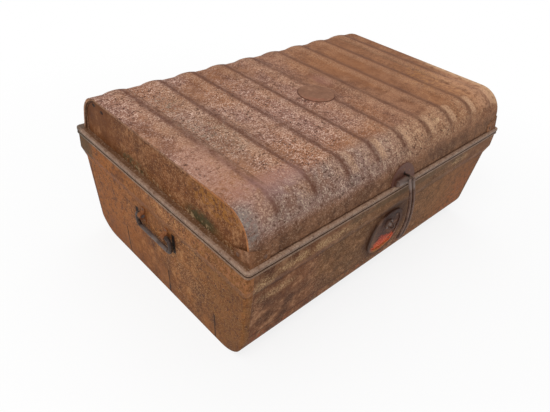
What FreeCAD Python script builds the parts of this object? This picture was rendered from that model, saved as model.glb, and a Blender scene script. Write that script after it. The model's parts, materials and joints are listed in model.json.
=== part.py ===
import FreeCAD, Part
import math
import os
import re
import Sketcher

# Old sheet-metal trunk: tapered body with a stepped collar, ribbed lid, rear hinges,
# hasp with a hanging link, and two bail handles.
# Millimetres. X runs along the length, -Y is the front, +Z is up, the origin is the middle of the base.

# Driving dimensions, kept in the sheet
SIZES = {
    # Whole trunk
    "mouth_length": 670,
    "mouth_width": 450,
    "trunk_height": 290,
    "lid_height": 83,
    "parting_gap": 0.6,
    "sheet_thickness": 1,
    "overrun": 5,
    # Body
    "collar_inset": 2,
    "collar_height": 32,
    "step_drop": 18,
    "step_inset": 6,
    "wall_lean": 11,
    "bottom_radius": 50,
    "corner_radius": 5,
    "seam_inset": 12,
    "body_rim_height": 5,
    "body_rim_depth": 5,
    "rim_round": 1.8,
    # Lid
    "lid_rim_height": 7,
    "lid_rim_depth": 16,
    "lid_inset": 10,
    "lid_shift": 4,
    "lid_lean": 14,
    "lid_radius": 48,
    "lid_recess": 3,
    "lid_hem": 4.5,
    # Ribs of the lid
    "rib_count": 9,
    "rib_end_inset": 45,
    "rib_width": 40,
    "rib_height": 3,
    "rib_sink": 0.5,
    "rib_fade_start": 45,
    "rib_fade_turn": 40,
    "rib_fade_radius": 20,
    # Bare disc on the lid
    "disc_radius": 32.5,
    "disc_offset": 5,
    "disc_forward": 15,
    "disc_thickness": 1,
    "seat_margin": 2,
    "seat_flank": 14,
    # Corner plates of the lid
    "guard_length": 32,
    "guard_peak": 25,
    "guard_end": 13,
    "guard_thickness": 1.2,
    "guard_rivet_inset": 8,
    "guard_rivet_height": 7,
    # Rivets
    "rivet_radius": 3.4,
    "rivet_height": 1.5,
    "small_rivet_radius": 2.2,
    "small_rivet_height": 1.1,
    # Hinges
    "hinge_end_inset": 130,
    "hinge_width": 62,
    "hinge_leaf": 2,
    "hinge_leaf_rise": 28,
    "hinge_leaf_drop": 24,
    "knuckle_radius": 4.8,
    "knuckle_gap": 0.5,
    "knuckle_middle": 22,
    "hinge_pin_radius": 2.4,
    "pin_clearance": 0.05,
    "leaf_clearance": 0.4,
    "hinge_rivet_inset": 11,
    # Hasp on the lid front
    "fittings_offset": 2,
    "hasp_plate_radius": 32,
    "hasp_plate_thickness": 2,
    "hasp_barrel_radius": 5.4,
    "hasp_barrel_length": 26,
    "hasp_rivet_reach": 22,
    "lug_offset": 4,
    "lug_thickness": 3.4,
    "lug_radius": 6.4,
    "lug_reach": 12,
    "lug_height": 7,
    "loose_clearance": 0.3,
    # Hasp link
    "link_rod_radius": 2.5,
    "link_half_width": 4.75,
    "link_bow": 10,
    "link_kick": 10,
    "link_overhang": 14,
    # Lock plate on the body front
    "lock_plate_width": 88,
    "lock_plate_height": 92,
    "lock_plate_radius": 38,
    "lock_plate_gap": 5,
    "lock_plate_thickness": 3,
    "lock_plate_rim": 7,
    "lock_plate_dish": 1.4,
    "lock_edge_round": 1.4,
    "boss_radius": 10,
    "boss_round": 2.5,
    "staple_radius": 6,
    "staple_rise": 16,
    "staple_rod_radius": 1.7,
    # Handles
    "handle_offset": -1.5,
    "handle_span": 92,
    "handle_drop": 26,
    "handle_rod_radius": 3.4,
    "handle_bend": 8,
    "handle_stub": 18,
    "handle_standoff": 5.2,
    "clip_width": 8,
    "clip_wall": 1.8,
    "clip_shoulder": 8,
    "clip_foot": 14,
    "clip_foot_thickness": 1.5,
    "clip_rivet_inset": 3.4,
    "clip_gap": 2,
}

# Places that follow from the driving dimensions
FOLLOWS = {
    "mouth_half_x": "mouth_length / 2",
    "mouth_half_y": "mouth_width / 2",
    "collar_half_x": "mouth_half_x - collar_inset",
    "collar_half_y": "mouth_half_y - collar_inset",
    "wall_half_x": "collar_half_x - step_inset",
    "wall_half_y": "collar_half_y - step_inset",
    "floor_half_x": "wall_half_x - wall_lean",
    "floor_half_y": "wall_half_y - wall_lean",
    "parting_height": "trunk_height - lid_height",
    "step_high": "parting_height - collar_height",
    "step_low": "step_high - step_drop",
    "wall_slope": "wall_lean / step_low",
    "wall_angle": "atan(wall_slope)",
    "body_rim_high": "parting_height - parting_gap / 2",
    "body_rim_low": "body_rim_high - body_rim_height",
    "lid_rim_low": "parting_height + parting_gap / 2",
    "lid_low": "lid_rim_low + lid_rim_height",
    "rib_crest": "trunk_height - disc_thickness",
    "lid_high": "rib_crest - rib_height",
    "lid_half_x": "mouth_half_x - lid_inset",
    "lid_half_y": "mouth_half_y - lid_inset",
    "lid_front": "lid_half_y + lid_shift",
    "lid_slope": "lid_lean / (lid_high - lid_low)",
    "lid_angle": "atan(lid_slope)",
    "lid_skin": "sheet_thickness / cos(lid_angle)",
    "lid_arc_y": "lid_half_y - lid_slope * (lid_high - lid_radius - lid_low) - lid_radius / cos(lid_angle)",
    "rib_first": "lid_half_x - rib_end_inset",
    "rib_half": "rib_width / 2",
    "rib_arc": "(rib_half ^ 2 + rib_height ^ 2) / (2 * rib_height)",
    "rib_foot": "sqrt(rib_arc ^ 2 - (rib_arc - rib_height - rib_sink) ^ 2)",
    "rib_bend": "rib_fade_start * 1 deg",
    "rib_end_bend": "rib_bend + rib_fade_turn * 1 deg",
    "hinge_place": "mouth_half_x - hinge_end_inset",
    "hinge_axis_y": "mouth_half_y + leaf_clearance + knuckle_radius",
    "hinge_face_y": "mouth_half_y + leaf_clearance",
    "hinge_back_y": "hinge_face_y + hinge_leaf",
    "knuckle_room": "knuckle_radius + knuckle_gap",
    "knuckle_side": "(hinge_width - knuckle_middle) / 2 - knuckle_gap",
    "bore_radius": "hinge_pin_radius + pin_clearance",
    "barrel_out": "hasp_barrel_radius + hasp_plate_thickness / 4",
    "link_x": "fittings_offset + lug_offset",
    "lug_out": "hasp_plate_thickness + lug_reach",
    "link_axis_y": "0 - lid_front - lug_out * cos(lid_angle) + lug_height * sin(lid_angle)",
    "link_axis_z": "lid_low + lug_out * sin(lid_angle) + lug_height * cos(lid_angle)",
    "link_back_y": "0 - link_axis_y - link_rod_radius - loose_clearance",
    "lock_middle_up": "step_low - lock_plate_gap - lock_plate_height / 2",
    "staple_up": "lock_middle_up + staple_rise",
    "staple_out": "(link_back_y - floor_half_y - staple_up * sin(wall_angle)) / cos(wall_angle)",
    "staple_z": "staple_up * cos(wall_angle) - staple_out * sin(wall_angle)",
    "lock_seat": "lock_plate_thickness - lock_plate_dish",
    "staple_straight": "staple_out - staple_rod_radius - staple_radius",
    "boss_top": "staple_straight - staple_rod_radius",
    "link_inside": "link_half_width - link_rod_radius",
    "link_free": "link_inside - loose_clearance",
    "lug_bore": "link_half_width - sqrt(link_free ^ 2 - (lug_thickness / 2) ^ 2)",
    "handle_pivot_height": "step_low - clip_gap - clip_foot",
    "handle_axis_x": "floor_half_x + wall_slope * handle_pivot_height + handle_standoff",
    "clip_bore": "handle_rod_radius + loose_clearance",
    "clip_round": "clip_bore + clip_wall",
}

doc = FreeCAD.newDocument("metal_trunk")
sheet = doc.addObject("Spreadsheet::Sheet", "dims")
for row, (alias, value) in enumerate(SIZES.items(), start=1):
    sheet.set(f"A{row}", str(value))
    sheet.setAlias(f"A{row}", alias)
doc.recompute()

nodes = []


# Names, sizes and sketches

def bound(text):
    """The expression with its names replaced by cells of the sheet and by what follows from them."""
    def swap(found):
        word = found.group(0)
        if word in SIZES:
            return "dims." + word
        if word in FOLLOWS:
            return "(" + bound(FOLLOWS[word]) + ")"
        return word
    return re.sub(r"[a-z]\w*", swap, str(text))


def size(text):
    """The present value of an expression."""
    value = sheet.evalExpression(bound(text))
    return float(getattr(value, "Value", value))


def times(sign, text):
    """The expression with a side's sign in front of it."""
    return f"{sign} * ({text})"


def new_body(name):
    body = doc.addObject("PartDesign::Body", name)
    body.Label = name
    return body


def keep(piece, name):
    """Mark an object as a sub-part that gets a file of its own."""
    piece.Label = name
    nodes.append(piece)
    return piece


def origin_part(body, role):
    return next(part for part in body.Origin.OriginFeatures if part.Role == role)


def sketch_on(body, plane, away="0"):
    """A sketch on one of the body's origin planes, moved along the plane's normal."""
    plan = body.newObject("Sketcher::SketchObject", "Outline")
    plan.AttachmentSupport = [(origin_part(body, plane), "")]
    plan.MapMode = "FlatFace"
    plan.setExpression("AttachmentOffset.Base.z", bound(away))
    return plan


def tie(plan, constraint, text):
    index = plan.addConstraint(constraint)
    plan.setExpression(f"Constraints[{index}]", bound(text))


def pin_point(plan, piece, end, place):
    """Hold a point of a sketch at its two expressions."""
    for kind, text, axis in zip(("DistanceX", "DistanceY"), place, (-2, -1)):
        if str(text) == "0":
            plan.addConstraint(Sketcher.Constraint("PointOnObject", piece, end, axis))
        else:
            tie(plan, Sketcher.Constraint(kind, -1, 1, piece, end, size(text)), text)


def arc_between(start, end, radius, turn):
    """The short arc from start to end, turning left (1) or right (-1)."""
    chord = end - start
    rise = math.sqrt(max(radius ** 2 - (chord.Length / 2) ** 2, 0))
    left = FreeCAD.Vector(-chord.y, chord.x, 0).normalize()
    centre = (start + end) / 2 + left * rise * turn
    first, last = (start, end) if turn > 0 else (end, start)
    angles = [math.atan2(p.y - centre.y, p.x - centre.x) for p in (first, last)]
    if angles[1] < angles[0]:
        angles[1] += 2 * math.pi
    return Part.ArcOfCircle(Part.Circle(centre, FreeCAD.Vector(0, 0, 1), radius), *angles)


def chain(plan, points, bends=None, closed=True):
    """Lines through points given as pairs of expressions; bends makes a span an arc: (radius, turn)."""
    bends = bends or {}
    places = [FreeCAD.Vector(size(across), size(up), 0) for across, up in points]
    spans = len(points) if closed else len(points) - 1
    ends = []
    for span in range(spans):
        start, end = places[span], places[(span + 1) % len(points)]
        if span in bends:
            radius, turn = bends[span]
            piece = plan.addGeometry(arc_between(start, end, size(radius), turn), False)
            ends.append((piece, 1, 2) if turn > 0 else (piece, 2, 1))
        else:
            ends.append((plan.addGeometry(Part.LineSegment(start, end), False), 1, 2))
    for span, (piece, first, last) in enumerate(ends):
        if closed or span:
            before, _, before_last = ends[span - 1]
            plan.addConstraint(Sketcher.Constraint("Coincident", before, before_last, piece, first))
        pin_point(plan, piece, first, points[span])
    if not closed:
        pin_point(plan, ends[-1][0], ends[-1][2], points[-1])
    for span, (radius, _) in bends.items():
        tie(plan, Sketcher.Constraint("Radius", ends[span][0], size(radius)), radius)


def ring(plan, place, radius):
    """A circle at a pair of expressions."""
    centre = FreeCAD.Vector(size(place[0]), size(place[1]), 0)
    piece = plan.addGeometry(Part.Circle(centre, FreeCAD.Vector(0, 0, 1), size(radius)), False)
    pin_point(plan, piece, 3, place)
    tie(plan, Sketcher.Constraint("Radius", piece, size(radius)), radius)


def round_box(plan, half_x, half_y, radius, middle=("0", "0")):
    """A rectangle with round corners about a middle point."""
    across, up = middle
    inner_x, inner_y = f"({half_x}) - ({radius})", f"({half_y}) - ({radius})"
    corners = [(-1, -1), (1, -1), (1, 1), (-1, 1)]
    points = []
    for place, (side_x, side_y) in enumerate(corners):
        level = (f"{across} + {side_x} * ({inner_x})", f"{up} + {side_y} * ({half_y})")
        upright = (f"{across} + {side_x} * ({half_x})", f"{up} + {side_y} * ({inner_y})")
        points += [upright, level] if place % 2 == 0 else [level, upright]
    chain(plan, points, {span: (radius, 1) for span in (0, 2, 4, 6)})


# Features

def pad(body, plan, length, middle=False, back=False):
    made = body.newObject("PartDesign::Pad", "Pad")
    made.Profile = plan
    made.setExpression("Length", bound(length))
    made.Midplane = middle
    made.Reversed = back
    doc.recompute()
    return made


def pocket(body, plan, length=None, back=False):
    """A cut of some depth, or through everything both ways; it has to take material away."""
    before = body.Shape.Volume
    made = body.newObject("PartDesign::Pocket", "Pocket")
    made.Profile = plan
    if length is None:
        made.Type = "ThroughAll"
        made.Midplane = True
    else:
        made.setExpression("Length", bound(length))
        made.Reversed = back
    doc.recompute()
    if body.Shape.Volume >= before:
        raise RuntimeError(f"the cut in {body.Label} takes nothing away")
    return made


def edges_where(shape, test):
    """Names of the edges whose end points all pass a test."""
    return [f"Edge{place}" for place, edge in enumerate(shape.Edges, start=1)
            if all(test(vertex.Point) for vertex in edge.Vertexes)]


def fillet(body, radius, test):
    """Round the edges whose end points all pass a test."""
    base = body.Tip
    names = edges_where(base.Shape, test)
    if not names:
        raise RuntimeError(f"no edge to round on {body.Label}")
    made = body.newObject("PartDesign::Fillet", "Fillet")
    made.Base = (base, names)
    made.setExpression("Radius", bound(radius))
    doc.recompute()
    return made


def same(value, text):
    """Whether a coordinate lies on an expression's value."""
    return math.isclose(value, size(text), abs_tol=Part.Precision.approximation())


def pipe(body, kind, profile, path):
    made = body.newObject(kind, "Pipe")
    made.Profile = profile
    spans = [f"Edge{place}" for place in range(1, path.GeometryCount + 1)]
    made.Spine = (path, spans)
    doc.recompute()
    return made


def row_along_x(body, features, length, count):
    made = body.newObject("PartDesign::LinearPattern", "Row")
    made.Originals = features
    made.Direction = (origin_part(body, "X_Axis"), [""])
    made.setExpression("Length", bound(length))
    made.setExpression("Occurrences", bound(count))
    body.Tip = made
    doc.recompute()
    return made


def combine(kind, name, base, tool):
    made = doc.addObject(kind, name)
    made.Base = base
    made.Tool = tool
    doc.recompute()
    return made


def stand(body, place, axis, turn):
    """Move a body to a place given as three expressions, turned about an axis by an expression."""
    body.Placement = FreeCAD.Placement(FreeCAD.Vector(), FreeCAD.Rotation(axis, size(turn)))
    for letter, text in zip("xyz", place):
        body.setExpression(f"Placement.Base.{letter}", bound(text))
    body.setExpression("Placement.Rotation.Angle", bound(turn))


ALONG_X = FreeCAD.Vector(1, 0, 0)
ALONG_Y = FreeCAD.Vector(0, 1, 0)


def rivet(place, axis, turn, radius="rivet_radius", height="rivet_height"):
    """A round head whose flat side lies at a place, its top turned from +Z about an axis."""
    head = doc.addObject("Part::Sphere", "rivet_head")
    ball = f"((({radius}) ^ 2 + ({height}) ^ 2) / (2 * ({height})))"
    sunk = f"({ball} - ({height}))"
    head.setExpression("Radius", bound(ball))
    head.setExpression("Angle1", bound(f"asin({sunk} / {ball})"))
    lean_x = f"sin({turn})" if axis == ALONG_Y else "0"
    lean_y = f"-sin({turn})" if axis == ALONG_X else "0"
    lean = (lean_x, lean_y, f"cos({turn})")
    stand(head, [f"({spot}) - ({part}) * {sunk}" for spot, part in zip(place, lean)], axis, turn)
    return head


def group(name, heads):
    made = doc.addObject("Part::Compound", name)
    made.Links = heads
    keep(made, name)


# Body of the trunk

def body_block(name, skin, low, high):
    """The body's outer form, or with a skin its hollow: four round-cornered levels, round bottom edges."""
    block = new_body(name)
    levels = [("floor_half", low), ("wall_half", "step_low"),
              ("collar_half", "step_high"), ("collar_half", high)]
    plans = []
    for half, level in levels:
        plan = sketch_on(block, "XY_Plane", level)
        round_box(plan, f"{half}_x - {skin}", f"{half}_y - {skin}", f"corner_radius - {skin}")
        plans.append(plan)
    doc.recompute()
    loft = block.newObject("PartDesign::AdditiveLoft", "Levels")
    loft.Profile = plans[0]
    loft.Sections = plans[1:]
    loft.Ruled = True
    doc.recompute()
    bend = f"(bottom_radius - {skin})"
    slope = f"(wall_lean / (step_low - ({low})))"
    middle_y = f"(floor_half_y - {skin} + {slope} * {bend} - {bend} / cos(atan({slope})))"
    touch_y = f"({middle_y} + {bend} * cos(atan({slope})))"
    touch_z = f"({low} + {bend} - {bend} * sin(atan({slope})))"
    plan = sketch_on(block, "YZ_Plane")
    for side in (-1, 1):
        points = [(times(side, middle_y), low),
                  (times(side, middle_y), f"{low} - overrun"),
                  (times(side, "mouth_half_y"), f"{low} - overrun"),
                  (times(side, "mouth_half_y"), touch_z),
                  (times(side, touch_y), touch_z)]
        chain(plan, points, {4: (bend, -side)})
    pocket(block, plan)
    return block


def end_region(name, side):
    """The space that belongs to one end panel, up to its seam with the wrap."""
    region = new_body(name)
    plan = sketch_on(region, "XZ_Plane")
    inner = [("floor_half_x", "0 - overrun"), ("floor_half_x", "0"), ("wall_half_x", "step_low"),
             ("collar_half_x", "step_high"), ("collar_half_x", "parting_height")]
    points = [(times(side, f"{half} - seam_inset"), level) for half, level in inner]
    points += [(times(side, "mouth_half_x + overrun"), "parting_height"),
               (times(side, "mouth_half_x + overrun"), "0 - overrun")]
    chain(plan, points)
    pad(region, plan, "mouth_width + 2 * overrun", middle=True)
    return region


def build_body():
    outer = body_block("body_outer", "0", "0", "body_rim_low")
    hollow = body_block("body_hollow", "sheet_thickness", "sheet_thickness", "body_rim_low + overrun")
    shell = combine("Part::Cut", "body_shell", outer, hollow)
    left = end_region("left_region", -1)
    right = end_region("right_region", 1)
    keep(combine("Part::Common", "left_panel", shell, left), "body_end_left")
    keep(combine("Part::Common", "right_panel", shell, right), "body_end_right")
    without_left = combine("Part::Cut", "shell_without_left", shell, left)
    keep(combine("Part::Cut", "wrap", without_left, right), "body_wrap")


def rim(name, low, height, depth):
    """A bead round the mouth with rounded outer edges."""
    frame = keep(new_body(name), name)
    plan = sketch_on(frame, "XY_Plane", low)
    round_box(plan, "mouth_half_x", "mouth_half_y", "corner_radius + collar_inset")
    round_box(plan, f"mouth_half_x - {depth}", f"mouth_half_y - {depth}", "corner_radius - sheet_thickness")
    pad(frame, plan, height)
    fillet(frame, "rim_round",
           lambda p: same(abs(p.x), "mouth_half_x") or same(abs(p.y), "mouth_half_y"))


# Lid

DISC_PLACE = ("0 - disc_offset", "0 - disc_forward")


def lid_wall_y(level, skin):
    """Distance of the leaning lid wall from the middle, at a level, with a number of skins taken off."""
    return f"(lid_half_y - lid_slope * ({level} - lid_low) - {skin} * lid_skin)"


def lid_outline(plan, skin, low):
    """The lid's cross-section with a number of skins taken off: leaning walls and round top edges."""
    bend = f"(lid_radius - {skin} * sheet_thickness)"
    high = f"(lid_high - {skin} * sheet_thickness)"
    wall = lid_wall_y(low, skin)
    touch_y = f"(lid_arc_y + {bend} * cos(lid_angle))"
    touch_z = f"(lid_high - lid_radius + {bend} * sin(lid_angle))"
    points = [(times(-1, wall), low), (wall, low), (touch_y, touch_z), ("lid_arc_y", high),
              ("0 - lid_arc_y", high), (times(-1, touch_y), touch_z)]
    chain(plan, points, {2: (bend, 1), 4: (bend, 1)})


def half_rib(body, kind, skin, side):
    """Half of a rib, swept from the middle of the lid over its round edge and down into the sheet."""
    bend, end_bend = f"(lid_radius - {skin})", f"(rib_fade_radius - {skin})"
    top = f"(lid_high - {skin})"
    turn_y, turn_z = f"{bend} * sin(rib_bend)", f"{bend} * cos(rib_bend)"
    shift = "(lid_radius - rib_fade_radius)"
    end_y = f"{shift} * sin(rib_bend) + {end_bend} * sin(rib_end_bend)"
    end_z = f"{shift} * cos(rib_bend) + {end_bend} * cos(rib_end_bend)"
    path = sketch_on(body, "YZ_Plane", "0 - rib_first")
    points = [("0", top),
              (times(side, "lid_arc_y"), top),
              (times(side, f"lid_arc_y + {turn_y}"), f"lid_high - lid_radius + {turn_z}"),
              (times(side, f"lid_arc_y + {end_y}"), f"lid_high - lid_radius + {end_z}")]
    chain(path, points, {1: (bend, -side), 2: (end_bend, -side)}, closed=False)
    section = sketch_on(body, "XZ_Plane")
    level = f"({top} - rib_sink)"
    chain(section, [("0 - rib_first - rib_foot", level), ("0 - rib_first + rib_foot", level)],
          {1: ("rib_arc", 1)})
    doc.recompute()
    return pipe(body, kind, section, path)


def ribs(body, kind, skin):
    halves = [half_rib(body, kind, skin, side) for side in (-1, 1)]
    row_along_x(body, halves, "2 * rib_first", "rib_count")


def disc_seat(body, kind, skin):
    """The flat seat of the disc, which falls off gently to the sheet all round."""
    plans = []
    for level, radius in (("lid_high - rib_sink", "disc_radius + seat_margin + seat_flank"),
                          ("rib_crest", "disc_radius + seat_margin")):
        plan = sketch_on(body, "XY_Plane", f"{level} - {skin}")
        ring(plan, DISC_PLACE, radius)
        plans.append(plan)
    doc.recompute()
    made = body.newObject(kind, "Seat")
    made.Profile = plans[0]
    made.Sections = plans[1:]
    made.Ruled = True
    doc.recompute()


def lid_body(name):
    """A body drawn about the middle of the lid, which stands a little to the front on its rim."""
    body = keep(new_body(name), name)
    body.setExpression("Placement.Base.y", bound("0 - lid_shift"))
    return body


def lid_wrap():
    wrap = lid_body("lid_wrap")
    plan = sketch_on(wrap, "YZ_Plane")
    lid_outline(plan, 0, "lid_low")
    pad(wrap, plan, "2 * lid_half_x", middle=True)
    ribs(wrap, "PartDesign::AdditivePipe", "0")
    disc_seat(wrap, "PartDesign::AdditiveLoft", "0")
    hollow = sketch_on(wrap, "YZ_Plane")
    lid_outline(hollow, 1, "lid_low - overrun")
    pocket(wrap, hollow)
    ribs(wrap, "PartDesign::SubtractivePipe", "sheet_thickness")
    disc_seat(wrap, "PartDesign::SubtractiveLoft", "sheet_thickness")


def lid_end(name, side):
    """A flat end panel set back behind the wrap's edge, with a hem along the wrap."""
    panel = lid_body(name)
    back = side < 0
    plate = sketch_on(panel, "YZ_Plane", times(side, "lid_half_x - lid_recess - sheet_thickness"))
    lid_outline(plate, 1, "lid_low")
    pad(panel, plate, "lid_recess + sheet_thickness", back=back)
    face = sketch_on(panel, "YZ_Plane", times(side, "lid_half_x"))
    lid_outline(face, "(lid_hem / sheet_thickness)", "lid_low - overrun")
    pocket(panel, face, "lid_recess", back=back)


def corner_guard(name, side_x):
    """An L-shaped plate round a lower front corner of the lid, highest at the corner."""
    guard = lid_body(name)
    back = side_x < 0
    outside = "guard_thickness / cos(lid_angle)"
    peak, low = "(lid_low + guard_peak)", "lid_low"
    far = "(lid_low + guard_end)"
    inner_y = "(lid_half_y - guard_length)"
    end_leg = sketch_on(guard, "YZ_Plane", times(side_x, "lid_half_x"))
    points = [(times(-1, f"{lid_wall_y(low, 0)} + {outside}"), low),
              (times(-1, f"{lid_wall_y(peak, 0)} + {outside}"), peak),
              (times(-1, inner_y), far),
              (times(-1, inner_y), low)]
    chain(end_leg, points)
    pad(guard, end_leg, "guard_thickness", back=back)
    wall_leg = sketch_on(guard, "YZ_Plane", times(side_x, "lid_half_x + guard_thickness"))
    points = [(times(-1, lid_wall_y(low, 0)), low),
              (times(-1, f"{lid_wall_y(low, 0)} + {outside}"), low),
              (times(-1, f"{lid_wall_y(peak, 0)} + {outside}"), peak),
              (times(-1, lid_wall_y(peak, 0)), peak)]
    chain(wall_leg, points)
    pad(guard, wall_leg, "guard_length + guard_thickness", back=not back)
    slant = sketch_on(guard, "XZ_Plane")
    tip_x, end_x = "(lid_half_x + guard_thickness)", "(lid_half_x - guard_length)"
    points = [(times(side_x, tip_x), peak),
              (times(side_x, end_x), far),
              (times(side_x, f"{end_x} - overrun"), far),
              (times(side_x, f"{end_x} - overrun"), f"{peak} + overrun"),
              (times(side_x, tip_x), f"{peak} + overrun")]
    chain(slant, points)
    pocket(guard, slant)


def corner_guards():
    heads = []
    level = "(lid_low + guard_rivet_height)"
    reach = "guard_length - guard_rivet_inset"
    wall = f"{lid_wall_y(level, 0)} + guard_thickness / cos(lid_angle) + lid_shift"
    for end, side in (("left", -1), ("right", 1)):
        corner_guard(f"corner_plate_front_{end}", side)
        on_wall = (times(side, f"lid_half_x - ({reach})"), times(-1, wall), level)
        heads.append(rivet(on_wall, ALONG_X, "90 deg - lid_angle"))
        on_end = (times(side, "lid_half_x + guard_thickness"), times(-1, f"lid_front - ({reach})"), level)
        heads.append(rivet(on_end, ALONG_Y, times(side, "90 deg")))
    group("corner_plate_rivets", heads)


def lid_disc():
    disc = lid_body("lid_disc")
    plan = sketch_on(disc, "XY_Plane", "rib_crest")
    ring(plan, DISC_PLACE, "disc_radius")
    pad(disc, plan, "disc_thickness")
    fillet(disc, "disc_thickness / 2", lambda p: same(p.z, "trunk_height"))


# Hinges at the rear

def lid_rear_y(level):
    """The lid's rear wall at a level."""
    return f"({lid_wall_y(level, 0)} - lid_shift)"


def knuckle(leaf, middle_x, width, tongue):
    """A barrel on the hinge axis with the tongue that joins it to its leaf."""
    for draw in ("tongue", "barrel"):
        plan = sketch_on(leaf, "YZ_Plane", f"{middle_x} - ({width}) / 2")
        if draw == "tongue":
            chain(plan, tongue)
        else:
            ring(plan, ("hinge_axis_y", "parting_height"), "knuckle_radius")
        pad(leaf, plan, width)


def hinge(end, side):
    """A hinge: body leaf with two outer barrels, lid leaf with the middle barrel, and the pin."""
    middle = times(side, "hinge_place")
    start = f"{middle} - hinge_width / 2"
    low, high = "(parting_height - knuckle_room)", "(parting_height + knuckle_room)"

    body_leaf = keep(new_body(f"hinge_body_leaf_{end}"), f"hinge_body_leaf_{end}")
    jog = "(body_rim_low - hinge_leaf)"
    foot = "(body_rim_low - hinge_leaf_drop)"
    plan = sketch_on(body_leaf, "YZ_Plane", start)
    chain(plan, [("collar_half_y", foot), ("collar_half_y + hinge_leaf", foot),
                 ("collar_half_y + hinge_leaf", f"{jog} - hinge_leaf"), ("hinge_back_y", jog),
                 ("hinge_back_y", low), ("hinge_face_y", low),
                 ("hinge_face_y", "body_rim_low - leaf_clearance"),
                 ("collar_half_y", "body_rim_low - leaf_clearance")])
    pad(body_leaf, plan, "hinge_width")
    tongue = [("hinge_face_y", low), ("hinge_back_y", low), ("hinge_back_y", "parting_height"),
              ("hinge_face_y", "parting_height")]
    for edge in (-1, 1):
        place = f"{middle} + {edge} * (hinge_width - knuckle_side) / 2"
        knuckle(body_leaf, place, "knuckle_side", tongue)

    lid_leaf = keep(new_body(f"hinge_lid_leaf_{end}"), f"hinge_lid_leaf_{end}")
    over = "(lid_low + leaf_clearance)"
    head = "(lid_low + hinge_leaf_rise)"
    out = "hinge_leaf / cos(lid_angle)"
    bend = f"({over} + 2 * hinge_leaf)"
    plan = sketch_on(lid_leaf, "YZ_Plane", start)
    chain(plan, [(lid_rear_y(head), head), (lid_rear_y(over), over),
                 ("hinge_face_y", over), ("hinge_face_y", high), ("hinge_back_y", high),
                 ("hinge_back_y", f"{over} + hinge_leaf"),
                 (f"{lid_rear_y(bend)} + {out}", bend),
                 (f"{lid_rear_y(head)} + {out}", head)])
    pad(lid_leaf, plan, "hinge_width")
    tongue = [("hinge_face_y", "parting_height"), ("hinge_back_y", "parting_height"),
              ("hinge_back_y", high), ("hinge_face_y", high)]
    knuckle(lid_leaf, middle, "knuckle_middle", tongue)

    for leaf in (body_leaf, lid_leaf):
        bore = sketch_on(leaf, "YZ_Plane")
        ring(bore, ("hinge_axis_y", "parting_height"), "bore_radius")
        pocket(leaf, bore)

    pin = keep(doc.addObject("Part::Cylinder", f"hinge_pin_{end}"), f"hinge_pin_{end}")
    pin.setExpression("Radius", bound("hinge_pin_radius"))
    pin.setExpression("Height", bound("hinge_width"))
    stand(pin, (start, "hinge_axis_y", "parting_height"), ALONG_Y, "90 deg")


def hinges():
    body_heads, lid_heads = [], []
    level = "(lid_low + hinge_leaf_rise - hinge_rivet_inset)"
    wall = f"{lid_rear_y(level)} + hinge_leaf / cos(lid_angle)"
    foot = "body_rim_low - hinge_leaf_drop + hinge_rivet_inset"
    for end, side in (("left", -1), ("right", 1)):
        hinge(end, side)
        for edge in (-1, 0, 1):
            place = f"{times(side, 'hinge_place')} + {edge} * (hinge_width / 2 - hinge_rivet_inset)"
            body_heads.append(rivet((place, "collar_half_y + hinge_leaf", foot), ALONG_X, "-90 deg"))
            lid_heads.append(rivet((place, wall, level), ALONG_X, "lid_angle - 90 deg"))
    group("hinge_body_rivets", body_heads)
    group("hinge_lid_rivets", lid_heads)


# Hasp

def on_lid_front(out, up):
    """World place (y, z) of a point given by its distance off the lid's front wall and up that wall."""
    return (f"0 - lid_front - ({out}) * cos(lid_angle) + ({up}) * sin(lid_angle)",
            f"lid_low + ({out}) * sin(lid_angle) + ({up}) * cos(lid_angle)")


def hasp_plate():
    """A half-round plate on the lid front with a rolled barrel and the lug that carries the link."""
    plate = keep(new_body("hasp_plate"), "hasp_plate")
    face = sketch_on(plate, "XZ_Plane")
    reach = "hasp_plate_radius"
    chain(face, [(f"0 - {reach}", "0"), (reach, "0"), ("0", reach)], {1: (reach, 1), 2: (reach, 1)})
    pad(plate, face, "hasp_plate_thickness")
    barrel = sketch_on(plate, "YZ_Plane", "lug_offset - lug_thickness / 2 - hasp_barrel_length")
    ring(barrel, ("0 - barrel_out", "hasp_barrel_radius"), "hasp_barrel_radius")
    pad(plate, barrel, "hasp_barrel_length")
    lug = sketch_on(plate, "YZ_Plane", "lug_offset - lug_thickness / 2")
    root, tip = "0 - hasp_plate_thickness / 2", "0 - lug_out"
    low, high = "lug_height - lug_radius", "lug_height + lug_radius"
    chain(lug, [(root, low), (root, high), (tip, high), (f"{tip} - lug_radius", "lug_height"), (tip, low)],
          {2: ("lug_radius", 1), 3: ("lug_radius", 1)})
    pad(plate, lug, "lug_thickness")
    bore = sketch_on(plate, "YZ_Plane", "lug_offset - lug_thickness / 2 - loose_clearance")
    ring(bore, (tip, "lug_height"), "lug_bore")
    pocket(plate, bore, "lug_thickness + 2 * loose_clearance", back=True)
    stand(plate, ("fittings_offset", "0 - lid_front", "lid_low"), ALONG_X, "0 deg - lid_angle")
    heads = []
    up = "hasp_rivet_reach * sin(45 deg)"
    for across, rise in (("0 - hasp_rivet_reach * cos(45 deg)", up), ("0", "hasp_rivet_reach"),
                         ("hasp_rivet_reach * cos(45 deg)", up)):
        place = (f"fittings_offset + {across}",) + on_lid_front("hasp_plate_thickness", rise)
        heads.append(rivet(place, ALONG_X, "90 deg - lid_angle", "small_rivet_radius", "small_rivet_height"))
    group("hasp_rivets", heads)


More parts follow.
